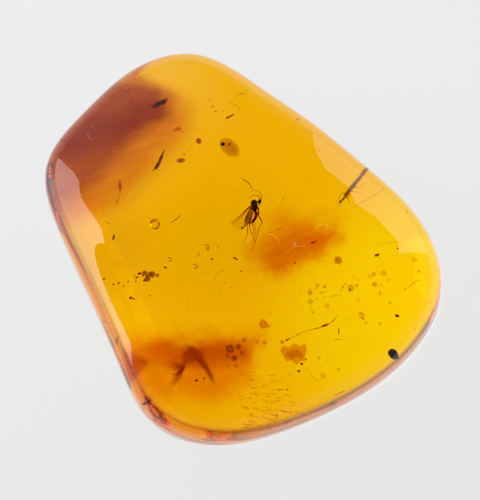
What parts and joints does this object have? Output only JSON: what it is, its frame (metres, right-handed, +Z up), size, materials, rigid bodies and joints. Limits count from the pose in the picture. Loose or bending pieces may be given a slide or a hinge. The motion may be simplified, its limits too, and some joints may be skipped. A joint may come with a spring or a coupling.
{
  "type": "amber stone with insect",
  "caption": "Polished freeform pebble of clear golden amber, flat underneath, with a fungus gnat, a slim insect and scraps of plants sealed inside.",
  "frame": {"origin": "middle of the stone's box in plan, on the flat polished underside", "axes": "+Z up, through the stone's thickness; +X along the stone's width, from its straight side to its broad rounded end; +Y along its length, towards the end with the dark flake"},
  "size_m": [0.0316, 0.0316, 0.009],
  "materials": {
    "clear_amber": "clear golden-yellow fossil resin, polished",
    "dark_chitin": "black-brown insect skin, satin",
    "grey_chitin": "grey-brown insect skin, satin",
    "bark": "dark weathered plant matter, matt",
    "red_wood": "red-brown plant matter, matt",
    "frass": "orange-brown pellet, matt",
    "husk_skin": "thin tan husk, satin",
    "rust_skin": "thin rust-coloured plant skin, matt"
  },
  "bodies": {
    "root": {"amber_top": "clear_amber", "amber_base": "clear_amber", "fungus_gnat": "dark_chitin", "slim_insect": "grey_chitin", "bark_flake": "bark", "twig_splinter": "bark", "stem_bit": "bark", "wood_chip": "red_wood", "frass_pellet": "frass", "red_grain": "red_wood", "seed_husk": "husk_skin", "leaf_scrap": "red_wood", "char_splinter": "bark", "dark_seed": "bark", "dark_crumb": "bark", "rootlet": "bark", "frass_cluster": "frass", "curled_scrap": "red_wood", "rust_flake": "rust_skin"}
  },
  "joints": []
}
